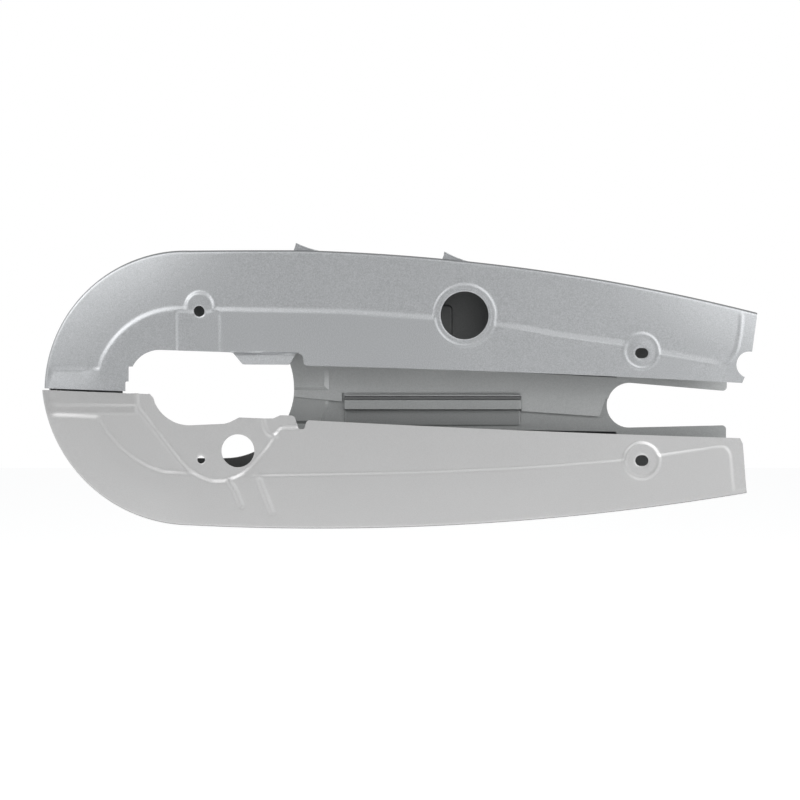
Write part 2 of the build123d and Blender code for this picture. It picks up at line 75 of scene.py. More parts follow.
# Upper wall, fine beads on both sides of that step ahead of the inspection hole, and its bead in front
STEP_BEAD = 0.16
STEP_BEAD_OFFSET = 2.9
STEP_BEADS_X = (232.0, 384.0)
FRONT_BEAD = 0.5
FRONT_BEAD_X = 392.0

# Upper wall, lobe and panel by the rear bolt
LOBE_HEIGHT = 1.3
LOBE_FOOT_Z = 54.0
PANEL_X = (-4.6, 26.3)
PANEL_TOP_Z = 56.0
PANEL_DEPTHS = (0.9, 0.5)

# Upper wall, rear stretch by the joint: set back, with a lean per mm of height and a ramp up to the band,
# and the limits past which the band is as elsewhere
REAR_LEVEL = -0.9
REAR_CREASE_Z = 14.8
REAR_RAMP_X = (-76.0, -58.0)
REAR_RIGHT_X = -61.0
REAR_LEAN = 0.09
REAR_LIMIT_X = -50.0
REAR_LIMIT_Z = 22.0

# Upper wall, set-back tongue above the axle opening, with its lean per mm of height
TONGUE_X = (33.0, 82.5)
TONGUE_TOP_Z = 25.9
TONGUE_DEPTH = 2.6
TONGUE_LEAN = 0.18

# Upper wall, heights of the seats at their holes, and their fall per mm outwards
INSPECTION_SEAT_HEIGHT = 1.0
INSPECTION_SEAT_FALL = 0.16
FRONT_SEAT_HEIGHT = 0.8
FRONT_SEAT_FALL = 0.08
FRONT_SEAT_FLAT_R = 5.0

# Lower wall, set-back part below its crease: depth and width of its step, by place along X
LOWER_PLACES_X = (-200.0, -70.0, -20.0, 40.0, 52.0, 310.0, 345.0, 380.0, 500.0)
LOWER_DEPTHS = (0.6, 0.6, 1.0, 0.1, 0.7, 0.6, 0.9, 0.5, 0.4)
LOWER_WIDTH_PLACES_X = (-200.0, 40.0, 60.0, 500.0)
LOWER_WIDTHS = (4.0, 4.0, 2.6, 3.0)
LOWER_SEAT_HEIGHT = 0.15

# Lower wall, platform round the axle, with its level and its step's width by place along X
PLATFORM_PLACES_X = (-30.0, 10.0, 40.0, 60.0)
PLATFORM_LEVELS = (-1.5, -1.4, -1.1, -1.6)
PLATFORM_STEP_X = (0.0, 30.0)
PLATFORM_STEP_WIDTHS = (3.4, 4.2)
PLATFORM_BEAD = 0.35
PLATFORM_BEAD_END_X = 10.0
HOOK_BEAD = 0.5
CHANNEL_DEPTH = 0.65
CHANNEL_HEAD = 0.5

# Lower wall, shallow recess by the joint
RECESS_X = (-94.0, -34.0)
RECESS_Z = (-18.0, -11.6)
RECESS_DEPTH = 0.35

# Fall of the walls: along the rim at the upper rear and front, at the upper open end and at the lower rear
UPPER_REAR_FALL = 4.2
UPPER_FRONT_FALL = 2.3
OPEN_END_FALL = 2.2
OPEN_END_X = (340.0, 420.0)
LOWER_REAR_FALL = 0.8

# Scoops lanced from the top rim
SCOOP_TIPS_X = (80.8, 188.6)
SCOOP_HEIGHT = 5.6
SCOOP_LENGTH = 24.0
SCOOP_WIDTH = 10.0
SCOOP_LEAN = 2.0
SCOOP_SAG = 1.2
SCOOP_Y = -14.9
SCOOP_SHEET = 0.6
SCOOP_CHEEK_INSET = 0.5
SCOOP_ROLL = 0.7
SCOOP_STEPS = 25

# Strip at the far joint: its box, the depth of its foot and its bends
STRIP_BOX = (114.8, 246.5, -26.5, -3.4)
STRIP_FOOT_Y = 9.85
STRIP_FACE = 3.75
STRIP_JOGGLE_Z = -15.2
STRIP_GROOVE = 1.4
STRIP_GROOVE_Z = (-7.6, -5.3)
STRIP_SHEET = 1.2
STRIP_CORNER_R = 2.5

# Plate inside the upper far wall: its box, its edge, the crown above it and how far in the crown rises
STAY_BOX = (170.0, 196.0, 34.0, 64.0)
STAY_CORNER_R = 4.0
STAY_BACK_Y = 18.95
STAY_EDGE = 0.05
STAY_CROWN = 1.52
STAY_ROUND = 1.6

# Share of the tone that is left where the painted shade is fullest
PAINTED_SHADE_TONE = 0.4

# Share of the tone that a painted shade leaves on the deep side of the case, inside and outside alike, and
# the two depths, in metres, between which it begins
DEEP_SHADE_TONE = 0.38
DEEP_PLACES_Y = (0.0115, 0.0125)

# How much painted shade lies, from 0 to 1: on the rims' turn, by place along X, and at other places painted
# darker
UPPER_TURN_X = (-80.0, -40.0)
UPPER_TURN_SHADE = (0.15, 1.0)
LOWER_TURN_X = (-80.0, -20.0)
LOWER_TURN_SHADE = (0.0, 0.6)
RECESS_SHADE = 0.16
RECESS_SHADE_X = -35.0
RECESS_SHADE_Z = -17.5
SCOOP_LID_SHADE = (0.0, 0.0, 0.0, 0.2, 0.5, 0.3, 0.0)
SCOOP_CHEEK_SHADE = 0.1
STRIP_GROOVE_SHADE = 0.95
STRIP_FOOT_SHADE = 0.4

# Share of a rim's bend up to which its painted shade is full, and over which it fades again
TURN_SHADE_END = 0.72
TURN_SHADE_FADE = 0.4

# Grids of the near walls: steps along X, rays behind the axle, and rows of rim, bend and wall
FINE = 0.85
COARSE = 2.6
RAYS = 96
STRAIGHT_ROWS = 4
BEND_ROWS = 8
OUTER_ROWS = 44
INNER_ROWS = 48

# Distance from the bend to the rim's row beside it, and from the bend to the relief's full height
ROW_BY_BEND = 1.2
RELIEF_FADE = 3.0

# Grid points nearer than this to an outline are drawn to it
WALL_KEEP = 0.3
PLATE_KEEP = 0.05

# Step of the rim's line for distances from it, and angle in degrees over which an edge stays sharp
RIM_STEP = 4.0
SHARP_ANGLE = 38.0

# Floor, tent and camera, in metres; the tent's opening has a direction and the cosines of its soft edge
FLOOR_HALF = 6.0
FLOOR_Z = -0.42
TENT_OPENING = (-0.22, -0.975, 0.0)
TENT_OPENING_COSINES = (0.78, 0.985)
TENT_OPENING_LIGHT = 0.2
TENT_FILL = 0.28
CAMERA_PLACE = (0.15624, -0.830, -0.00792)
CAMERA_SENSOR = 36.0
CAMERA_LENS = 50.625


def arc(a, b, c, n):
    """Points on the circle through a, b and c, from a to c, evenly spaced in angle."""
    (ax, az), (bx, bz), (cx, cz) = a, b, c
    d = 2 * (ax * (bz - cz) + bx * (cz - az) + cx * (az - bz))
    sa, sb, sc = ax * ax + az * az, bx * bx + bz * bz, cx * cx + cz * cz
    ux = (sa * (bz - cz) + sb * (cz - az) + sc * (az - bz)) / d
    uz = (sa * (cx - bx) + sb * (ax - cx) + sc * (bx - ax)) / d
    t0, t1, t2 = (math.atan2(z - uz, x - ux) for x, z in (a, b, c))
    turn = (t2 - t0) % (2 * math.pi)
    if (t1 - t0) % (2 * math.pi) > turn:
        turn -= 2 * math.pi
    t = t0 + turn * np.linspace(0, 1, n)
    r = math.hypot(ax - ux, az - uz)
    return np.stack([ux + r * np.cos(t), uz + r * np.sin(t)], 1)


def line(*points):
    """Corner points of a broken line as an array."""
    return np.array(points, float)


def resample(curve, step):
    """The same curve with points about step apart."""
    lengths = np.hypot(*np.diff(curve, axis=0).T)
    s = np.concatenate([[0], np.cumsum(lengths)])
    t = np.linspace(0, s[-1], max(2, int(s[-1] / step) + 1))
    return np.stack([np.interp(t, s, curve[:, 0]), np.interp(t, s, curve[:, 1])], 1)


def softened(curve, step, reach):
    """Curve resampled and averaged over a sliding reach, so that its corners become curves."""
    c = resample(curve, step)
    n = max(1, int(reach / step / 2))
    pad = np.concatenate([c[0] + (c[0] - c[1]) * np.arange(n, 0, -1)[:, None], c,
                          c[-1] + (c[-1] - c[-2]) * np.arange(1, n + 1)[:, None]])
    kernel = np.ones(2 * n + 1) / (2 * n + 1)
    return np.stack([np.convolve(pad[:, 0], kernel, "valid"), np.convolve(pad[:, 1], kernel, "valid")], 1)


def height_on(curve, x):
    """Height at places x of a line that runs along X."""
    order = np.argsort(curve[:, 0])
    return np.interp(x, curve[order, 0], curve[order, 1])


def nearest(points, curve, closed):
    """Distance from each point to a curve, the nearest point on it, and the side: 1 if left of its way."""
    a = curve if closed else curve[:-1]
    b = np.roll(curve, -1, axis=0) if closed else curve[1:]
    ab = b - a
    length = np.maximum((ab ** 2).sum(1), 1e-12)
    dist = np.empty(len(points))
    foot = np.empty_like(points)
    side = np.empty(len(points))
    chunk = 4000
    for start in range(0, len(points), chunk):
        part = slice(start, start + chunk)
        p = points[part]
        ap = p[:, None, :] - a[None]
        t = np.clip((ap * ab[None]).sum(2) / length, 0, 1)
        q = a[None] + t[..., None] * ab[None]
        d2 = ((p[:, None, :] - q) ** 2).sum(2)
        k = d2.argmin(1)
        i = np.arange(len(p))
        dist[part] = np.sqrt(d2[i, k])
        foot[part] = q[i, k]
        cross = ab[k, 0] * ap[i, k, 1] - ab[k, 1] * ap[i, k, 0]
        side[part] = np.where(cross >= 0, 1.0, -1.0)
    return dist, foot, side


def inside(points, outline):
    """True where a point lies inside a closed outline, by counting crossings of a ray along +X."""
    x, z = points[:, 0], points[:, 1]
    result = np.zeros(len(points), bool)
    for (x0, z0), (x1, z1) in zip(outline, np.roll(outline, -1, axis=0)):
        if z0 != z1:
            crosses = (z0 > z) != (z1 > z)
            result ^= crosses & (x < x0 + (z - z0) / (z1 - z0) * (x1 - x0))
    return result


def circle(disc, n=96):
    """Outline of a round hole, anticlockwise."""
    t = np.linspace(0, 2 * math.pi, n, endpoint=False)
    return np.stack([disc[0] + disc[2] * np.cos(t), disc[1] + disc[2] * np.sin(t)], 1)


def slot_outline(slot, n=48):
    """Outline of a slot along X: two half circles joined by straight sides."""
    x, z, length, width = slot
    half = (length - width) / 2
    t = np.linspace(-math.pi / 2, math.pi / 2, n)
    right = np.stack([x + half + width / 2 * np.cos(t), z + width / 2 * np.sin(t)], 1)
    left = np.stack([x - half - width / 2 * np.cos(t), z - width / 2 * np.sin(t)], 1)
    return np.concatenate([right, left])


def rounded_box(x0, x1, z0, z1, r, n=12):
    """Outline of a rectangle with round corners, anticlockwise."""
    t = np.linspace(0, math.pi / 2, n)
    corners = ((x1 - r, z1 - r, 0), (x0 + r, z1 - r, 1), (x0 + r, z0 + r, 2), (x1 - r, z0 + r, 3))
    return np.concatenate([
        np.stack([cx + r * np.cos(t + k * math.pi / 2), cz + r * np.sin(t + k * math.pi / 2)], 1)
        for cx, cz, k in corners
    ])


def joint_z(x):
    """Height of the middle line of the joint between the halves."""
    return JOINT_Z - JOINT_FALL * (x + END_R)


def soft_step(d, width):
    """0 below -width/2, 1 above width/2, with a smooth S-shaped rise between."""
    t = np.clip(d / width + 0.5, 0, 1)
    return t * t * (3 - 2 * t)


def along(x, span, soft):
    """1 between the two ends of a span, falling softly to 0 outside them."""
    return soft_step(x - span[0], soft) * soft_step(span[1] - x, soft)


def rise(x, span):
    """0 at the first end of a span, 1 at the second, with a smooth S-shaped rise between."""
    return soft_step(x - (span[0] + span[1]) / 2, span[1] - span[0])


def bead(distance, width):
    """A rounded ridge over a line: 1 on the line, falling softly to 0 at width from it."""
    return soft_step(width / 2 - distance, width)


def round_over(distance, reach, drop):
    """How far a surface falls near its edge: drop times the square of 1 - distance / reach."""
    t = np.clip(1 - distance / reach, 0, 1)
    return drop * t * t


def from_centre(x, z, feature):
    """Distance of each place from the centre of a round feature or slot."""
    return np.hypot(x - feature[0], z - feature[1])


def rolled_edge(x, z, hole, drop, reach):
    """How far a round hole's drawn edge turns in, in mm, over a reach from the hole's line."""
    return round_over(from_centre(x, z, hole) - hole[2], reach, drop)


def over_disc(x, z, disc, width):
    """1 inside a disc, 0 outside, with a soft edge of that width about its line."""
    return soft_step(disc[2] - from_centre(x, z, disc), width)


def seat_over(h, x, z, disc, level, width, ring):
    """Relief with a round seat of its own level pressed into it, and a soft bead round the seat's edge."""
    m = over_disc(x, z, disc, width)
    away = np.abs(from_centre(x, z, disc) - disc[2])
    return h * (1 - m) + level * m + ring * bead(away, width * 0.6)


def add_mesh(name, vertices, faces, material):
    """A smooth-shaded piece from arrays in mm, with the edges of bends over the sharp angle kept sharp."""
    mesh = bpy.data.meshes.new(name)
    mesh.from_pydata((vertices * MM).tolist(), [], faces.tolist())
    mesh.validate()
    mesh.polygons.foreach_set("use_smooth", np.ones(len(mesh.polygons), bool))
    mesh.set_sharp_from_angle(angle=math.radians(SHARP_ANGLE))
    mesh.materials.append(material)
    obj = bpy.data.objects.new(name, mesh)
    bpy.context.collection.objects.link(obj)
    return obj


def store_shade(obj, painted_dark):
    """Store on a piece how much painted shade lies at each point, from 0 to 1."""
    layer = obj.data.attributes.new("painted_shade", "FLOAT", "POINT")
    layer.data.foreach_set("value", painted_dark)


def vertex_normals(vertices, quads):
    """Unit normals at the vertices, as the sum of the normals of the faces around each."""
    p = vertices[quads]
    n = np.cross(p[:, 2] - p[:, 0], p[:, 3] - p[:, 1])
    total = np.zeros_like(vertices)
    for k in range(4):
        np.add.at(total, quads[:, k], n)
    return total / np.maximum(np.linalg.norm(total, axis=1), 1e-9)[:, None]


def close_sheet(front, back, quads):
    """A closed sheet: the front skin, the back skin with its faces turned, and a strip along every edge."""
    n = len(front)
    edges = np.concatenate([quads[:, [0, 1]], quads[:, [1, 2]], quads[:, [2, 3]], quads[:, [3, 0]]])
    key = np.sort(edges, axis=1)
    _, first, count = np.unique(key[:, 0] * n + key[:, 1], return_index=True, return_counts=True)
    rim = edges[first[count == 1]]
    strips = np.stack([rim[:, 1], rim[:, 0], rim[:, 0] + n, rim[:, 1] + n], 1)
    return np.concatenate([front, back]), np.concatenate([quads, quads[:, ::-1] + n, strips])


def thicken(vertices, quads, depth):
    """A closed sheet whose back skin lies one depth behind the given skin."""
    return close_sheet(vertices, vertices - vertex_normals(vertices, quads) * depth, quads)


def grid_quads(rows, columns):
    """Quads of a grid whose points are numbered along its rows."""
    index = np.arange(rows * columns).reshape(rows, columns)
    return np.stack([index[:-1, :-1], index[:-1, 1:], index[1:, 1:], index[1:, :-1]], -1).reshape(-1, 4)


def keep_used(quads, *arrays):
    """Quads renumbered to the points that they use, and the arrays cut down to those points."""
    used = np.unique(quads)
    renumber = np.zeros(used[-1] + 1, int)
    renumber[used] = np.arange(len(used))
    return renumber[quads], *(a[used] for a in arrays)


def facing_viewer(vertices, quads):
    """Quads without empty ones, turned over if most of their area faces along +Y, away from the viewer."""
    p = vertices[quads]
    area = np.cross(p[:, 2] - p[:, 0], p[:, 3] - p[:, 1])
    quads = quads[np.linalg.norm(area, axis=1) > 1e-6]
    return quads[:, ::-1] if area[:, 1].sum() > 0 else quads


def cut_grid(flat, outlines, keep):
    """Cells of a grid of flat points that lie on the sheet, with the points past an outline drawn back to it.

    flat is (rows, columns, 2). A point counts as inside if it is inside the first outline, outside the others
    and further than keep from all of them. Every cell with such a corner stays, and its other corners move
    to the nearest outline, so the edge follows the outline exactly.
    """
    points = flat.reshape(-1, 2)
    best = np.full(len(points), np.inf)
    foot = points.copy()
    solid = np.ones(len(points), bool)
    for k, outline in enumerate(outlines):
        within = inside(points, outline)
        solid &= within if k == 0 else ~within
        dist, q, _ = nearest(points, outline, True)
        closer = dist < best
        best = np.where(closer, dist, best)
        foot[closer] = q[closer]
    core = solid & (best > keep)
    quads = grid_quads(*flat.shape[:2])
    quads = quads[core[quads].any(1)]
    moved = points.copy()
    moved[~core] = foot[~core]
    return moved, quads


def stations(spans):
    """Places along a line: each span is (end, step), from the first end onwards."""
    out = [spans[0][0]]
    for end, step in spans[1:]:
        n = max(1, round(abs(end - out[-1]) / step))
        out.extend(np.linspace(out[-1], end, n + 1)[1:])
    return np.array(out)


def radial(curve, pivot, angles):
    """Points where rays from the pivot at these angles meet a curve that runs round it."""
    rel = curve - np.array(pivot)
    a = np.unwrap(np.arctan2(rel[:, 1], rel[:, 0])) % (2 * math.pi)
    r = np.hypot(rel[:, 0], rel[:, 1])
    order = np.argsort(a)
    return around(pivot, np.interp(angles, a[order], r[order]), angles)


def around(pivot, r, angles):
    """Points at these angles round a pivot, at a radius each or one for all."""
    return np.stack([pivot[0] + r * np.cos(angles), pivot[1] + r * np.sin(angles)], 1)


def wall_lines(rim, crease, inner, pivot, inner_r, angles, x_places, lean_from, lean):
    """Three guide points for each column of a wall: on the rim, on the crease and past the opening's edge.

    Behind the axle the columns are rays from the pivot. Ahead of it they are upright lines that, from one
    place on, lean gradually towards the slanted front edge, by lean in the last column.
    """
    share = np.clip((x_places - lean_from) / (x_places[-1] - lean_from), 0, 1)
    behind = radial(rim, pivot, angles), radial(crease, pivot, angles), around(pivot, inner_r, angles)
    ahead = [
        np.stack([x, height_on(curve, x)], 1)
        for curve, x in (
            (rim, x_places), (crease, x_places - share * lean * 0.5), (inner, x_places - share * lean),
        )
    ]
    return [np.concatenate([a, b[1:]]) for a, b in zip(behind, ahead)]


def unit_normals_left(p):
    """Unit directions in the flat, square to a run of points, on its left side."""
    t = np.gradient(p, axis=0)
    t /= np.linalg.norm(t, axis=1)[:, None]
    return np.stack([-t[:, 1], t[:, 0]], 1)


def rim_rows(p, inward, face_y, bend):
    """Rows of the rim and its bend: flat points and depths, from the free edge to the wall.

    The rim stands square to the wall; the bend is a quarter circle.
    """
    centre = face_y + bend
    flat = [p] * STRAIGHT_ROWS
    depth = [SEAM_Y, (SEAM_Y + centre) / 2, centre + ROW_BY_BEND, centre]
    for phi in np.linspace(0, math.pi / 2, BEND_ROWS + 1)[1:]:
        flat.append(p + inward * (bend * (1 - math.cos(phi))))
        depth.append(centre - bend * math.sin(phi))
    return np.array(flat), np.array(depth)


def wall_rows(start, crease, inner):
    """Rows between the bend and the crease, and between the crease and the inner guide."""
    a = np.linspace(0, 1, OUTER_ROWS + 1)[1:, None, None]
    b = np.linspace(0, 1, INNER_ROWS + 1)[1:, None, None]
    return np.concatenate([start + (crease - start) * a, crease + (inner - crease) * b])


def pressing(name, material, guides, inward_side, outlines, face_y, bend, relief, dome, shade_by_place):
    """A pressed sheet: rim, bend and wall in one grid, raised by a relief of the flat place, one sheet thick.

    inward_side is 1 if the rim's line has its inside on the left, and -1 if on the right. relief holds the
    pressed levels, which end at the bend; dome is the wall's soft fall towards the rim, which takes the bend
    with it. shade_by_place gives how much painted shade lies, for a flat place and its share in the outer
    part of the bend.
    """
    rim, crease, inner = guides
    rim_flat, rim_depth = rim_rows(rim, unit_normals_left(rim) * inward_side, face_y, bend)
    bend_end = rim_flat[-1]
    flat = np.concatenate([rim_flat, wall_rows(bend_end, crease, inner)])
    rows, columns = flat.shape[:2]
    n_rim = len(rim_flat)
    moved, quads = cut_grid(flat, outlines, WALL_KEEP)
    moved = moved.reshape(rows, columns, 2)
    moved[:n_rim] = rim_flat
    quads = np.concatenate([grid_quads(n_rim, columns), quads[quads.min(1) >= (n_rim - 1) * columns]])

    # By row: depth of the plain sheet, share of the dome that it takes, and share in the bend's outer part
    depth = np.concatenate([rim_depth, np.full(rows - n_rim, face_y)])
    carried = np.concatenate([np.linspace(0, 1, STRAIGHT_ROWS), np.ones(rows - STRAIGHT_ROWS)])
    # Painted shade on the outer part of the rim's bend, full up to a share of the bend and fading after it
    turn = np.zeros(rows)
    round_bend = np.linspace(0, 1, BEND_ROWS + 1)
    turn[STRAIGHT_ROWS - 1:n_rim] = 1 - soft_step(round_bend - TURN_SHADE_END, TURN_SHADE_FADE)
    depth, carried, turn = (np.repeat(by_row, columns) for by_row in (depth, carried, turn))

    away = np.hypot(*(moved[n_rim:] - bend_end).transpose(2, 0, 1))
    fade = np.concatenate([np.zeros((n_rim, columns)), np.clip(away / RELIEF_FADE, 0, 1)]).ravel()
    places = moved.reshape(-1, 2)
    x, z = places.T
    rim_distance = nearest(places, resample(rim, RIM_STEP), False)[0]
    y = depth - (relief(x, z) * fade + dome(x, rim_distance) * carried)
    # Painted shade at each point of the pressing
    painted_dark = shade_by_place(x, z, turn)
    quads, vertices, painted_dark = keep_used(quads, np.stack([x, y, z], 1), painted_dark)
    obj = add_mesh(name, *thicken(vertices, facing_viewer(vertices, quads), SHEET), material)
    store_shade(obj, np.concatenate([painted_dark, painted_dark]))
    return obj


# Lines of the rims, openings and creases, read off at real size
upper_rim = np.concatenate([
    arc((-END_R, JOINT_Z), (-71.6, 71.6), (4.0, 100.5), 200),
    line((44.0, 100.5), (84.0, 100.5)),
    arc((85.0, 100.5), (242.6, 88.1), (415.7, 55.6), 200),
])
lower_rim = np.concatenate([
    arc((-END_R, JOINT_Z), (-71.8, -66.0), (4.0, -98.4), 200),
    arc((4.0, -98.4), (130.0, -100.5), (406.3, -75.1), 300)[1:],
])

upper_opening = np.concatenate([
    line((-160.0, -60.0), (-41.9, -60.0), (-41.9, 5.0), (-41.4, 5.4), (-39.6, 5.5), (-39.6, 16.2)),
    arc((-36.7, 16.2), (-29.5, 24.4), (-16.8, 28.2), 24),
    line((28.2, 26.7), (35.4, 26.3), (42.2, 18.3), (43.0, 17.9), (75.8, 17.7), (76.8, 18.2), (80.3, 24.4),
         (80.6, 26.2), (85.0, 24.9), (86.3, 23.2), (86.9, 18.4), (87.6, 17.4)),
    arc((89.1, 16.8), (257.0, 11.4), (403.3, 4.4), 60),
    line((470.0, 1.2), (470.0, 200.0), (-160.0, 200.0)),
])
lower_opening = np.concatenate([
    line((-160.0, 60.0), (-41.9, 60.0), (-41.9, -3.2), (-27.1, -2.9), (-24.6, -3.5), (-22.0, -6.4),
         (-21.0, -9.6)),
    arc((-20.4, -11.0), (-12.4, -20.6), (3.7, -26.2), 20),
    line((29.4, -25.1), (33.8, -23.8), (40.2, -20.5), (58.2, -21.2), (64.7, -21.2), (69.8, -18.9),
         (78.2, -19.2), (80.1, -20.2), (82.4, -26.9), (83.4, -28.9), (87.2, -28.9), (88.1, -25.6),
         (88.7, -23.8), (90.4, -22.5)),
    arc((92.0, -22.6), (257.0, -30.4), (400.8, -35.4), 60),
    line((470.0, -38.0), (470.0, -200.0), (-160.0, -200.0)),
])

upper_band_line = np.concatenate([
    line((-62.0, -40.0), (-62.0, 12.0)),
    arc((-61.9, 14.0), (-40.6, 45.6), (-5.3, 58.4), 40),
    line((24.5, 57.6), (41.0, 57.4), (118.0, 55.9), (170.0, 52.4), (180.0, 51.6), (225.4, 46.8),
         (242.6, 45.0), (272.6, 39.5), (315.2, 34.0), (344.6, 27.2), (385.0, 20.2)),
])
upper_band_end = line(
    (392.0, 18.9), (396.5, 21.5), (400.3, 28.1), (403.0, 40.3), (404.4, 52.6), (405.0, 70.0),
)
lower_band_line = line(
    (-61.0, -20.6), (-54.9, -30.7), (-46.2, -41.2), (-36.3, -49.3), (-25.1, -55.9), (-14.0, -59.6),
    (2.2, -60.6), (30.0, -61.6), (55.2, -62.2), (79.9, -61.9), (144.0, -60.8), (182.2, -59.8),
    (242.6, -57.0), (272.9, -54.9), (313.9, -51.5), (341.7, -47.9), (385.0, -41.6),
)
lower_band_start = line((-160.0, -18.2), (-97.4, -18.5), (-66.0, -20.2))
lower_band_end = line((391.0, -41.6), (394.2, -46.0), (396.7, -72.7), (397.5, -110.0))
platform_line = line(
    (-33.6, 20.0), (-33.6, -11.0), (-32.6, -13.6), (-2.9, -51.8), (2.2, -57.6), (10.8, -62.9),
    (20.7, -66.4), (30.7, -66.2), (39.3, -62.9), (48.0, -56.7), (55.4, -48.1), (61.6, -40.6),
    (65.4, -34.6), (68.8, -29.0), (71.0, -27.9), (83.0, -27.7), (84.5, -15.0),
)
hook_line = line((57.4, -21.4), (58.4, -27.0), (60.5, -31.5), (64.0, -33.5), (67.0, -33.6))
left_channel = line((33.1, -66.7), (37.0, -72.5), (41.8, -84.0))
right_channel = line((53.6, -62.0), (56.0, -69.0), (64.0, -89.0))

upper_crease = softened(np.concatenate([upper_band_line, upper_band_end]), 1.0, 5.0)
upper_crease_guide = softened(np.concatenate([upper_band_line, line((400.0, 18.0), (420.0, 16.0))]), 1.0, 9.0)
lower_crease = softened(np.concatenate([lower_band_start, lower_band_line, lower_band_end]), 1.0, 5.0)
lower_crease_guide = softened(np.concatenate([
    line((-62.5, 30.0), (-62.5, -14.0)), lower_band_line, line((400.0, -40.0), (420.0, -38.0)),
]), 1.0, 9.0)
platform_edge = softened(platform_line, 0.8, 4.0)
platform_hook = softened(hook_line, 0.5, 3.0)


def end_dome(rim_distance, x, reach, span):
    """How much the wall falls back towards the rim near one end, from 0 to 1.

    It is 1 - rim_distance / reach to the power 1.5, and rises from 0 to 1 over a span of x, where x grows
    towards that end.
    """
    return np.clip(1 - rim_distance / reach, 0, 1) ** 1.5 * rise(x, span)


def upper_dome(x, rim_distance):
    """Fall of the upper near wall towards its rim at both ends, and towards its open front end, in mm."""
    rear = end_dome(rim_distance, -x, reach=46.0, span=(-50.0, 40.0))
    front = end_dome(rim_distance, x, reach=32.0, span=(290.0, 390.0))
    open_end = np.clip((x - OPEN_END_X[0]) / (OPEN_END_X[1] - OPEN_END_X[0]), 0, 1) ** 2
    return -UPPER_REAR_FALL * rear - UPPER_FRONT_FALL * front - OPEN_END_FALL * open_end


def lower_dome(x, rim_distance):
    """Fall of the lower near wall towards its rim at the rear, in mm."""
    return -LOWER_REAR_FALL * end_dome(rim_distance, -x, reach=26.0, span=(-30.0, 30.0))


def rear_stretch(x, z, band):
    """The upper wall's band with the set-back stretch beside the joint, which ramps up to it."""
    below = soft_step(REAR_CREASE_Z - z, 2.2)
    ramp = rise(x, REAR_RAMP_X)
    set_back = REAR_LEVEL + REAR_LEAN * (REAR_CREASE_Z - z)
    level = below * (set_back * (1 - ramp) + BAND_HEIGHTS[0] * ramp)
    right = soft_step(x - REAR_RIGHT_X, 3.0)
    joined = level * (1 - right) + np.maximum(band, level) * right
    return np.where((x < REAR_LIMIT_X) & (z < REAR_LIMIT_Z), joined, band)


def upper_relief(x, z):
    """Height of the upper near wall's pressed levels over its face, in mm.

    The band below the crease stands proud by one soft step; beside the joint the wall is set back and
    ramps up to the band; round seats have their own level, a flat cone about the hole.
    """
    away, _, side = nearest(np.stack([x, z], 1), upper_crease, False)
    below = away * -side
    width = np.interp(x, BAND_PLACES_X, BAND_WIDTHS)
    h = np.interp(x, BAND_PLACES_X, BAND_HEIGHTS) * soft_step(below, width)
    ahead = soft_step(x - STEP_BEADS_X[0], 8.0) * soft_step(STEP_BEADS_X[1] - x, 12.0)
    ridge = bead(np.abs(below - STEP_BEAD_OFFSET), 1.8)
    valley = bead(np.abs(below + STEP_BEAD_OFFSET), 1.8)
    h = h + STEP_BEAD * ahead * (ridge - valley)
    h = h + FRONT_BEAD * bead(away, 3.4) * soft_step(x - FRONT_BEAD_X, 8.0)
    h = np.maximum(h, LOBE_HEIGHT * over_disc(x, z, REAR_LOBE, 2.8) * soft_step(z - LOBE_FOOT_Z, 4.0))
    h = rear_stretch(x, z, h)

    cone = INSPECTION_SEAT_HEIGHT - INSPECTION_SEAT_FALL * (from_centre(x, z, INSPECTION) - INSPECTION[2])
    h = seat_over(h, x, z, INSPECTION_SEAT, cone, width=3.0, ring=0.5)
    past_flat = np.maximum(from_centre(x, z, FRONT_SEAT_UPPER) - FRONT_SEAT_FLAT_R, 0)
    cone = FRONT_SEAT_HEIGHT - FRONT_SEAT_FALL * past_flat
    h = seat_over(h, x, z, FRONT_SEAT_UPPER, cone, width=3.4, ring=0.5)
    h = h - rolled_edge(x, z, INSPECTION, drop=0.5, reach=1.6)
    h = h - rolled_edge(x, z, (*FRONT_SLOT_UPPER[:2], SLOT_EDGE_R), drop=0.3, reach=1.2)
    h = h - rolled_edge(x, z, REAR_BOLT, drop=0.4, reach=1.4)

    across_panel = soft_step(x - PANEL_X[0], 2.8) * soft_step(PANEL_X[1] - x, 2.6)
    h = h - np.interp(x, PANEL_X, PANEL_DEPTHS) * across_panel * soft_step(PANEL_TOP_Z - z, 3.0)
    tongue = along(x, TONGUE_X, 1.5) * soft_step(TONGUE_TOP_Z - z, 1.1)
    return h - (TONGUE_DEPTH - TONGUE_LEAN * (TONGUE_TOP_Z - z)) * tongue


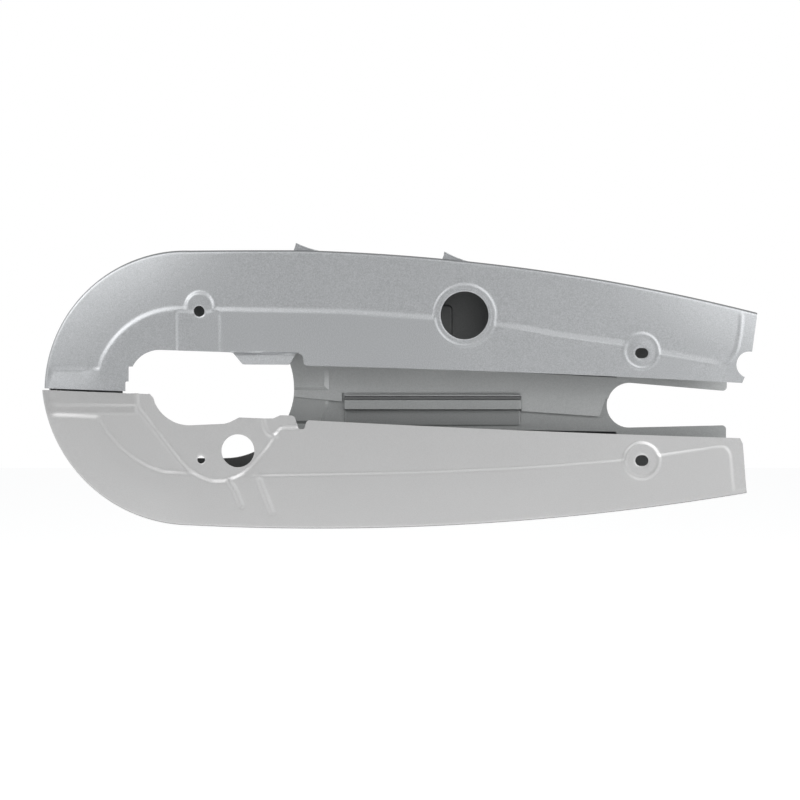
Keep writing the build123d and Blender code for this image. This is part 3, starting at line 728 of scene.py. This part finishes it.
def lower_relief(x, z):
    """Height of the lower near wall's pressed levels over its face, in mm, most of them set back.

    The wall is set back by one soft step below the crease, and the platform round the axle by another;
    two channels run from the platform's edge down to the face, the left one shorter.
    """
    points = np.stack([x, z], 1)
    away, _, side = nearest(points, lower_crease, False)
    width = np.interp(x, LOWER_WIDTH_PLACES_X, LOWER_WIDTHS)
    h = -np.interp(x, LOWER_PLACES_X, LOWER_DEPTHS) * soft_step(away * side, width)
    h = seat_over(h, x, z, FRONT_SEAT_LOWER, LOWER_SEAT_HEIGHT, width=3.4, ring=0.35)
    h = h - rolled_edge(x, z, (*FRONT_SLOT_LOWER[:2], SLOT_EDGE_R), drop=0.3, reach=1.2)
    for channel in (left_channel, right_channel):
        h = h - CHANNEL_DEPTH * bead(nearest(points, channel, False)[0], 3.0)
    h = h + CHANNEL_HEAD * bead(from_centre(x, z, right_channel[0]), 4.0)

    away, _, side = nearest(points, platform_edge, False)
    platform = soft_step(away * side, np.interp(x, PLATFORM_STEP_X, PLATFORM_STEP_WIDTHS))
    h = h * (1 - platform) + np.interp(x, PLATFORM_PLACES_X, PLATFORM_LEVELS) * platform
    h = h + PLATFORM_BEAD * bead(away, 2.6) * soft_step(PLATFORM_BEAD_END_X - x, 12.0)
    h = h - rolled_edge(x, z, SCREW, drop=0.35, reach=1.3)
    h = h + HOOK_BEAD * bead(nearest(points, platform_hook, False)[0], 2.4)
    across = soft_step(x - RECESS_X[0], 6.0) * soft_step(RECESS_X[1] - x, 3.0)
    return h - RECESS_DEPTH * across * soft_step(z - RECESS_Z[0], 4.0) * soft_step(RECESS_Z[1] - z, 1.2)


def upper_shade(x, z, turn):
    """Painted shade on the upper near pressing: along the rim's turn, less so at the rear."""
    return turn * np.interp(x, UPPER_TURN_X, UPPER_TURN_SHADE)


def lower_shade(x, z, turn):
    """Painted shade on the lower near pressing: along the rim's turn, and by the joint."""
    # Painted shade by the joint recess
    by_joint = soft_step(RECESS_SHADE_X - x, 2.0) * soft_step(z - RECESS_SHADE_Z, 2.0)
    return turn * np.interp(x, LOWER_TURN_X, LOWER_TURN_SHADE) + RECESS_SHADE * by_joint


def upper_near_pressing(material):
    """Wall and rim of the upper half on the viewer's side."""
    inner = line((0.0, 22.0), (30.0, 20.0), (38.0, 15.0), (82.0, 14.0), (88.0, 14.0), (257.0, 9.4),
                 (403.3, 2.6), (420.0, 2.0))
    x_places = stations([(0.0, 0), (30.0, FINE), (86.0, 1.4), (172.0, COARSE), (232.0, FINE), (312.0, COARSE),
                         (348.0, FINE), (386.0, 1.8), (415.7, FINE)])
    rear = math.atan2(joint_z(-END_R) - joint_z(0.0), -END_R)
    guides = wall_lines(
        upper_rim, upper_crease_guide, inner, pivot=(0.0, joint_z(0.0) + JOINT_GAP / 2), inner_r=25.0,
        angles=np.linspace(rear, math.pi / 2, RAYS), x_places=x_places, lean_from=330.0, lean=12.9,
    )
    outlines = [
        upper_opening, circle(REAR_BOLT), circle(INSPECTION, 140), slot_outline(FRONT_SLOT_UPPER),
        circle(NOTCH),
    ]
    return pressing(
        "upper_near_pressing", material, guides, inward_side=-1, outlines=outlines, face_y=UPPER_FACE_Y,
        bend=UPPER_RIM_BEND, relief=upper_relief, dome=upper_dome, shade_by_place=upper_shade,
    )


def lower_near_pressing(material):
    """Wall and rim of the lower half on the viewer's side."""
    inner = line((0.0, -19.0), (30.0, -19.0), (66.0, -16.0), (82.0, -15.0), (92.0, -20.0), (257.0, -28.0),
                 (400.8, -33.4), (420.0, -34.0))
    x_places = stations([(0.0, 0), (92.0, FINE), (312.0, COARSE), (348.0, FINE), (384.0, 2.0), (406.3, FINE)])
    rear = math.atan2(joint_z(-END_R) - joint_z(0.0), -END_R)
    guides = wall_lines(
        lower_rim, lower_crease_guide, inner, pivot=(0.0, joint_z(0.0) - JOINT_GAP / 2), inner_r=15.0,
        angles=np.linspace(rear, 1.5 * math.pi, RAYS), x_places=x_places, lean_from=330.0, lean=5.7,
    )
    outlines = [lower_opening, circle(SCREW, 40), circle(ACCESS, 110), slot_outline(FRONT_SLOT_LOWER)]
    return pressing(
        "lower_near_pressing", material, guides, inward_side=1, outlines=outlines, face_y=LOWER_FACE_Y,
        bend=LOWER_RIM_BEND, relief=lower_relief, dome=lower_dome, shade_by_place=lower_shade,
    )


def lofted(*lines):
    """Grid of quads through lines of points in space, one row for each line."""
    grid = np.stack(lines)
    return grid.reshape(-1, 3), grid_quads(*grid.shape[:2])


def at_depth(flat, y, drop=0.0):
    """Flat points in space at one depth, lowered by a drop."""
    return np.stack([flat[:, 0], np.full(len(flat), y), flat[:, 1] - drop], 1)


def scoop(name, tip_x, material):
    """A scoop lanced from the top rim, open to the rear: a hollow lid that falls to the rim, and two cheeks.

    The lid follows a sagging curve z = line - 4 sag t (1 - t) from the tip to where it meets the rim, and
    its near edge is rolled down by a quarter circle.
    """
    t = np.linspace(0, 1, SCOOP_STEPS)
    x = tip_x + SCOOP_LENGTH * t
    tip_z = height_on(upper_rim, tip_x) + SCOOP_HEIGHT
    end_z = height_on(upper_rim, tip_x + SCOOP_LENGTH) - SHEET / 2
    top = np.stack([x, tip_z + (end_z - tip_z) * t - 4 * SCOOP_SAG * t * (1 - t)], 1)
    foot_x = x - SCOOP_LEAN * (1 - t)
    foot = np.stack([foot_x, height_on(upper_rim, foot_x) - SHEET], 1)
    near_y, far_y = SCOOP_Y, SCOOP_Y + SCOOP_WIDTH

    rolled = [
        at_depth(top, near_y + SCOOP_ROLL * (1 - math.sin(a)), SCOOP_ROLL * (1 - math.cos(a)))
        for a in np.linspace(math.pi / 2, 0, len(SCOOP_LID_SHADE) - 1)
    ]
    parts = [thicken(*lofted(*rolled, at_depth(top, far_y)), SCOOP_SHEET)]
    under = np.stack([top[:, 0], np.maximum(top[:, 1] - SCOOP_ROLL, foot[:, 1])], 1)
    for y, turned in ((near_y + SCOOP_CHEEK_INSET, False), (far_y - SCOOP_CHEEK_INSET, True)):
        vertices, quads = lofted(at_depth(foot, y), at_depth(under, y))
        parts.append(thicken(vertices, quads[:, ::-1] if turned else quads, SCOOP_SHEET))

    vertices = np.concatenate([v for v, _ in parts])
    starts = np.cumsum([0] + [len(v) for v, _ in parts[:-1]])
    obj = add_mesh(name, vertices, np.concatenate([f + n for (_, f), n in zip(parts, starts)]), material)
    # Painted shade along the lid's rows and, fainter, on the cheeks
    lid_shade = np.tile(np.repeat(SCOOP_LID_SHADE, SCOOP_STEPS), 2)
    store_shade(obj, np.concatenate([lid_shade, np.full(len(vertices) - len(lid_shade), SCOOP_CHEEK_SHADE)]))
    return obj


def field_over(x_places, z_places, outline):
    """Flat grid over a region with its edge drawn to the outline, as points and quads."""
    flat = np.stack(np.meshgrid(x_places, z_places), -1)
    moved, quads = cut_grid(flat, [outline], PLATE_KEEP)
    quads, moved = keep_used(quads, moved)
    return moved, quads


def strip_height(x, z):
    """Height of the joint strip over its foot: joggle, flat face, groove and lip, with soft bends, in mm.

    Both ends and the top edge are rounded over by a square law.
    """
    x0, x1, _, z1 = STRIP_BOX
    joggle = STRIP_FACE * soft_step(z - STRIP_JOGGLE_Z, 0.8)
    groove = STRIP_GROOVE * along(z, STRIP_GROOVE_Z, 0.9)
    top = round_over(z1 - z, reach=0.7, drop=0.5)
    ends = round_over(x - x0, reach=1.3, drop=0.8) + round_over(x1 - x, reach=1.3, drop=0.8)
    return joggle - groove - top - ends


def folded_strip(material):
    """Strip welded on the lower far wall, which hooks over the edge of the upper one."""
    x0, x1, z0, z1 = STRIP_BOX
    x_places = stations([(x0, 0), (x0 + 3.0, 0.3), (x1 - 3.0, 3.0), (x1, 0.3)])
    z_places = stations([(z0, 0), (STRIP_JOGGLE_Z - 1.5, 0.6), (z1, 0.2)])
    flat, quads = field_over(x_places, z_places, rounded_box(*STRIP_BOX, STRIP_CORNER_R))
    x, z = flat.T
    vertices = np.stack([x, STRIP_FOOT_Y - strip_height(x, z), z], 1)
    quads = facing_viewer(vertices, quads)
    obj = add_mesh("folded_joint_strip", *thicken(vertices, quads, STRIP_SHEET), material)
    # Painted shade in the groove under the lip and on the foot below the joggle
    painted_dark = STRIP_GROOVE_SHADE * along(z, STRIP_GROOVE_Z, 0.5)
    painted_dark += STRIP_FOOT_SHADE * soft_step(STRIP_JOGGLE_Z - z, 0.8)
    store_shade(obj, np.concatenate([painted_dark, painted_dark]))
    return obj


def rounded_plate(material):
    """Plate inside the upper far wall, whose edge rises to its crown by a quarter circle."""
    x0, x1, z0, z1 = STAY_BOX
    outline = rounded_box(*STAY_BOX, STAY_CORNER_R)
    flat, quads = field_over(stations([(x0, 0), (x1, 0.4)]), stations([(z0, 0), (z1, 0.4)]), outline)
    inset = np.clip(nearest(flat, outline, True)[0] / STAY_ROUND, 0, 1)
    height = STAY_EDGE + STAY_CROWN * np.sqrt(1 - (1 - inset) ** 2)
    front = np.stack([flat[:, 0], STAY_BACK_Y - height, flat[:, 1]], 1)
    quads = facing_viewer(front, quads)
    return add_mesh("rounded_stay_plate", *close_sheet(front, at_depth(flat, STAY_BACK_Y), quads), material)


def srgb(code):
    """Linear colour of an sRGB hex value."""
    v = np.array([int(code[i:i + 2], 16) / 255 for i in (1, 3, 5)])
    lin = np.where(v <= 0.04045, v / 12.92, ((v + 0.055) / 1.055) ** 2.4)
    return (*lin, 1.0)


def node(tree, kind, settings=None, inputs=(), **named):
    """One shader node with its settings, its inputs in order and further ones by name.

    An input is a value or the output of another node. A name has underscores for spaces.
    """
    n = tree.nodes.new(kind)
    for key, value in (settings or {}).items():
        setattr(n, key, value)
    by_name = [(n.inputs[key.replace("_", " ")], value) for key, value in named.items()]
    for socket, value in [*zip(n.inputs, inputs), *by_name]:
        if isinstance(value, bpy.types.NodeSocket):
            tree.links.new(value, socket)
        else:
            socket.default_value = value
    return n


def combined(tree, operation, a, b, clamp=False):
    """Output of a math node over two inputs."""
    return node(tree, "ShaderNodeMath", {"operation": operation, "use_clamp": clamp}, (a, b)).outputs["Value"]


def mapped(tree, value, source, target):
    """Output of a node that maps a value from one range to another, and clamps it there."""
    return node(tree, "ShaderNodeMapRange", Value=value, From_Min=source[0], From_Max=source[1],
                To_Min=target[0], To_Max=target[1]).outputs["Result"]


def empty_tree(owner):
    """Node tree of a material or world, cleared."""
    owner.use_nodes = True
    owner.node_tree.nodes.clear()
    return owner.node_tree


def silver_paint(name, colour, roughness, sparkle):
    """Baked semi-gloss silver enamel on pressed steel: fine metal flake under a thin clear film.

    sparkle is the share by which the flake varies the tone. The piece's own painted_shade value darkens it
    as painted shade, as over a rim's turn.
    """
    material = bpy.data.materials.new(name)
    tree = empty_tree(material)
    place = node(tree, "ShaderNodeTexCoord").outputs["Object"]
    noise_range = (0.3, 0.7)
    # Flake of about 0.7 mm, coarser than the real 0.05 mm so that it still shows
    flake = node(tree, "ShaderNodeTexNoise", Vector=place, Scale=1400.0, Detail=2.0).outputs["Fac"]
    # Uneven film thickness over about 60 mm
    cloud = node(tree, "ShaderNodeTexNoise", Vector=place, Scale=16.0, Detail=3.0).outputs["Fac"]
    # Orange peel of about 1.5 mm
    peel = node(tree, "ShaderNodeTexNoise", Vector=place, Scale=650.0, Detail=1.0).outputs["Fac"]
    tone = mapped(tree, cloud, noise_range, (-0.012, 0.012))
    grain = mapped(tree, flake, noise_range, (1.0 - sparkle, 1.0 + sparkle))
    # Painted shade stored on the piece darkens the tone
    shade_by_place = node(tree, "ShaderNodeAttribute", {"attribute_name": "painted_shade"}).outputs["Fac"]
    painted_dark = mapped(tree, shade_by_place, (0.0, 1.0), (1.0, PAINTED_SHADE_TONE))
    # Painted shade on the deep side of the case, standing in for the shadow inside it; only the depth counts
    # here, so the outside of the far walls is darkened with it, which the photo doesn't show
    depth = node(tree, "ShaderNodeSeparateXYZ", Vector=place).outputs["Y"]
    deep = mapped(tree, depth, DEEP_PLACES_Y, (1.0, DEEP_SHADE_TONE))
    shade_factor = combined(tree, "MULTIPLY", deep, painted_dark)
    shade = combined(tree, "MULTIPLY", combined(tree, "ADD", tone, grain), shade_factor)
    base = node(tree, "ShaderNodeVectorMath", {"operation": "SCALE"}, (srgb(colour)[:3],), Scale=shade)
    rough = mapped(tree, flake, noise_range, (roughness - 0.04, roughness + 0.04))
    bump = node(tree, "ShaderNodeBump", Strength=0.06, Distance=0.0002, Height=peel)
    shader = node(tree, "ShaderNodeBsdfPrincipled", Base_Color=base.outputs["Vector"], Metallic=0.55,
                  Roughness=rough, Normal=bump.outputs["Normal"], Coat_Weight=0.1, Coat_Roughness=0.3)
    node(tree, "ShaderNodeOutputMaterial", Surface=shader.outputs["BSDF"])
    return material


def studio_floor():
    """White matt floor well below the hung case, which the camera sees as bright as the surrounding."""
    mesh = bpy.data.meshes.new("floor")
    corners = [(x * FLOOR_HALF, y * FLOOR_HALF, FLOOR_Z) for x, y in ((-1, -1), (1, -1), (1, 1), (-1, 1))]
    mesh.from_pydata(corners, [], [(0, 1, 2, 3)])
    floor = bpy.data.objects.new("floor", mesh)
    bpy.context.collection.objects.link(floor)
    white = bpy.data.materials.new("matt_white_floor")
    tree = empty_tree(white)
    lit = node(tree, "ShaderNodeBsdfDiffuse", Color=(0.8, 0.8, 0.8, 1.0)).outputs["BSDF"]
    glow = node(tree, "ShaderNodeEmission", Color=(1.0, 1.0, 1.0, 1.0), Strength=0.75).outputs["Emission"]
    seen = node(tree, "ShaderNodeAddShader", inputs=(lit, glow)).outputs["Shader"]
    ray = node(tree, "ShaderNodeLightPath").outputs
    direct = combined(tree, "ADD", ray["Is Camera Ray"], ray["Is Glossy Ray"])
    through = combined(tree, "ADD", direct, ray["Is Transmission Ray"], clamp=True)
    pick = node(tree, "ShaderNodeMixShader", inputs=(through, lit, seen))
    node(tree, "ShaderNodeOutputMaterial", Surface=pick.outputs["Shader"])
    mesh.materials.append(white)
    return floor


def backdrop(tree, strength, colour=(1.0, 1.0, 1.0, 1.0)):
    """Output of an even surrounding light."""
    return node(tree, "ShaderNodeBackground", Color=colour, Strength=strength).outputs["Background"]


def light_tent():
    """World like a light tent: white to the camera and in reflections, and a weak light on all surfaces.

    Reflections find it dimmer only on the side where its opening is.
    """
    world = bpy.data.worlds.new("studio")
    bpy.context.scene.world = world
    tree = empty_tree(world)
    ray = node(tree, "ShaderNodeLightPath").outputs
    way = node(tree, "ShaderNodeTexCoord").outputs["Generated"]
    towards_opening = node(tree, "ShaderNodeVectorMath", {"operation": "DOT_PRODUCT"}, (way, TENT_OPENING))
    opening = node(tree, "ShaderNodeMapRange", {"interpolation_type": "SMOOTHSTEP"},
                   Value=towards_opening.outputs["Value"], From_Min=TENT_OPENING_COSINES[0],
                   From_Max=TENT_OPENING_COSINES[1], To_Min=1.0, To_Max=TENT_OPENING_LIGHT)
    solid = combined(tree, "ADD", ray["Is Camera Ray"], ray["Is Transmission Ray"], clamp=True)
    dim = backdrop(tree, TENT_FILL, (0.98, 0.99, 1.0, 1.0))
    tent = backdrop(tree, opening.outputs["Result"])
    gloss = node(tree, "ShaderNodeMixShader", inputs=(ray["Is Glossy Ray"], dim, tent))
    mix = node(tree, "ShaderNodeMixShader", inputs=(solid, gloss.outputs["Shader"], backdrop(tree, 1.0)))
    node(tree, "ShaderNodeOutputWorld", Surface=mix.outputs["Shader"])


def softbox(name, place, aim, size, watts):
    """Rectangular softbox that points from its place to an aim point, in metres."""
    lamp = bpy.data.lights.new(name, "AREA")
    lamp.shape = "RECTANGLE"
    lamp.size, lamp.size_y = size
    lamp.energy = watts
    obj = bpy.data.objects.new(name, lamp)
    bpy.context.collection.objects.link(obj)
    obj.location = place
    d = np.array(aim) - np.array(place)
    obj.rotation_euler = (math.atan2(math.hypot(d[0], d[1]), -d[2]), 0, math.atan2(d[1], d[0]) - math.pi / 2)


# Lit and shaded copies of one silver enamel, as painted light and shade: the lower wall's lighter than the
# upper's, the lower inside darker
upper_paint_shaded = silver_paint("baked_silver_enamel_upper_shaded", "#adafb1", roughness=0.40, sparkle=0.14)
lower_paint_lit = silver_paint("baked_silver_enamel_lower_lit", "#bfbfbf", roughness=0.40, sparkle=0.04)
inner_paint = silver_paint("baked_silver_enamel_inside", "#b4b6b6", roughness=0.46, sparkle=0.08)
lower_inner_paint_shaded = silver_paint("baked_silver_enamel_inside_lower_shaded", "#a0a2a2", roughness=0.46, sparkle=0.08)

upper_near = upper_near_pressing(upper_paint_shaded)
lower_near = lower_near_pressing(lower_paint_lit)
strip = folded_strip(lower_inner_paint_shaded)
stay = rounded_plate(inner_paint)
scoops = [scoop(f"top_scoop_{n + 1}", x, upper_paint_shaded) for n, x in enumerate(SCOOP_TIPS_X)]

for obj, replaced, slot in (
    (upper_near, "upper_near_shell", "silver_paint"),
    (lower_near, "lower_near_shell", "silver_paint"),
    (strip, "joint_strip", "inner_paint"),
    (stay, "stay_plate", "inner_paint"),
):
    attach(obj, "root")
    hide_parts(replaced)
for obj in scoops:
    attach(obj, "root")

for name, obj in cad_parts.items():
    obj.data.materials.clear()
    # The lower far wall gets the darker inside copy, as painted shade
    obj.data.materials.append(lower_inner_paint_shaded if name == "lower_far_shell" else inner_paint)

floor = studio_floor()
light_tent()
softbox("softbox_left", (-0.75, -0.90, 0.90), aim=(0.15, 0.0, 0.0), size=(1.2, 0.8), watts=8.4)
softbox("softbox_right", (1.05, -0.90, 0.90), aim=(0.15, 0.0, 0.0), size=(1.2, 0.8), watts=7.2)
softbox("side_left", (-0.85, -0.70, 0.55), aim=(0.0, 0.0, 0.0), size=(0.4, 0.5), watts=2.2)
softbox("side_right", (1.20, -0.75, 0.30), aim=(0.25, 0.0, 0.0), size=(0.4, 0.5), watts=2.5)
softbox("fill_low", (0.15, -0.45, -0.36), aim=(0.15, 0.0, -0.06), size=(0.6, 0.1), watts=0.3)

scene = bpy.context.scene
scene.view_settings.view_transform = "Standard"

camera_data = bpy.data.cameras.new("camera")
camera_data.sensor_width = CAMERA_SENSOR
camera_data.lens = CAMERA_LENS
camera = bpy.data.objects.new("camera", camera_data)
bpy.context.collection.objects.link(camera)
camera.location = CAMERA_PLACE
camera.rotation_euler = (math.pi / 2, 0.0, 0.0)
scene.camera = camera
